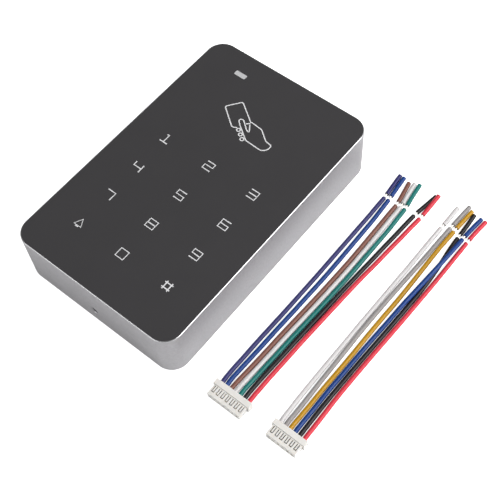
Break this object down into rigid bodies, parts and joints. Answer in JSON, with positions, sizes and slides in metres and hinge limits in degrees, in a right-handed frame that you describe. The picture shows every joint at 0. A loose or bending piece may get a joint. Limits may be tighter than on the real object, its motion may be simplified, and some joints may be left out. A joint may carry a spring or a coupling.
{
  "type": "keypad access reader",
  "caption": "Slim wall-mounted keypad and card access reader with a flush dark touch panel in a cast metal case, hooked on a steel plate, with two loose wire harnesses.",
  "frame": {"origin": "bottom centre of the reader, on the wall side of its plate", "axes": "+X across the width, +Y along the length towards the status window, +Z out of the touch panel"},
  "size_m": [0.1309, 0.126, 0.024],
  "materials": {
    "cast_case": "satin, fine bead blast",
    "panel_face": "smooth charcoal with light grey printing",
    "clear_plastic": "milky",
    "seal_rubber": "matte",
    "circuit_board": "solder mask",
    "copper_wire": "enamelled",
    "black_plastic": "moulded",
    "cover_plastic": "fine textured",
    "plated_steel": "zinc plated",
    "screw_steel": "zinc plated",
    "capacitor_can": "drawn can",
    "brass": "turned",
    "white_nylon": "moulded, slightly translucent",
    "insulation_purple": "extruded wire insulation",
    "insulation_blue": "extruded wire insulation",
    "insulation_brown": "extruded wire insulation",
    "insulation_white": "extruded wire insulation",
    "insulation_green": "extruded wire insulation",
    "insulation_black": "extruded wire insulation",
    "insulation_red": "extruded wire insulation",
    "insulation_grey": "extruded wire insulation",
    "insulation_yellow": "extruded wire insulation"
  },
  "bodies": {
    "wall_plate": {"wall_plate": "plated_steel"},
    "reader": {"case_frame": "cast_case", "front_panel": "panel_face", "status_window": "clear_plastic", "panel_gasket": "seal_rubber", "light_guide": "clear_plastic", "touch_board": "circuit_board", "main_board": "circuit_board", "antenna_coil": "copper_wire", "status_led": "clear_plastic", "touch_chip": "black_plastic", "board_link": "black_plastic", "controller_chip": "black_plastic", "card_reader_chip": "black_plastic", "power_inductor": "black_plastic", "clock_crystal": "plated_steel", "door_relay": "black_plastic", "buzzer": "black_plastic", "filter_capacitor": "capacitor_can", "socket_7": "white_nylon", "socket_6": "white_nylon", "tamper_switch": "black_plastic", "back_seal": "seal_rubber", "back_cover": "cover_plastic", "board_spacer_1": "brass", "board_screw_1": "screw_steel", "cover_screw_1": "screw_steel", "board_spacer_2": "brass", "board_screw_2": "screw_steel", "cover_screw_2": "screw_steel", "board_spacer_3": "brass", "board_screw_3": "screw_steel", "cover_screw_3": "screw_steel", "board_spacer_4": "brass", "board_screw_4": "screw_steel", "cover_screw_4": "screw_steel"},
    "lock_screw": {"lock_screw": "screw_steel"},
    "tamper_plunger": {"tamper_plunger": "white_nylon"},
    "harness_7": {"plug_7": "white_nylon", "wire_7_purple": "insulation_purple", "wire_7_blue": "insulation_blue", "wire_7_brown": "insulation_brown", "wire_7_white": "insulation_white", "wire_7_green": "insulation_green", "wire_7_black": "insulation_black", "wire_7_red": "insulation_red"},
    "harness_6": {"plug_6": "white_nylon", "wire_6_white": "insulation_white", "wire_6_grey": "insulation_grey", "wire_6_yellow": "insulation_yellow", "wire_6_blue": "insulation_blue", "wire_6_black": "insulation_black", "wire_6_red": "insulation_red"}
  },
  "joints": [
    {"name": "reader_swing", "type": "hinge", "parent": "wall_plate", "child": "reader", "pos_m": [0, 0.057, 0.0021], "axis": [-1, 0, 0], "range_deg": [0, 40]},
    {"name": "lock_screw_travel", "type": "slide", "parent": "wall_plate", "child": "lock_screw", "axis": [0, -1, 0], "range_m": [0, 0.0024]},
    {"name": "tamper_plunger_travel", "type": "slide", "parent": "reader", "child": "tamper_plunger", "axis": [0, 0, 1], "range_m": [0, 0.0014], "stiffness_N_per_m": 200},
    {"name": "harness_7_lift", "type": "slide", "parent": "wall_plate", "child": "harness_7", "axis": [0, 0, 1], "range_m": [0, 0.06]},
    {"name": "harness_6_lift", "type": "slide", "parent": "wall_plate", "child": "harness_6", "axis": [0, 0, 1], "range_m": [0, 0.06]}
  ]
}
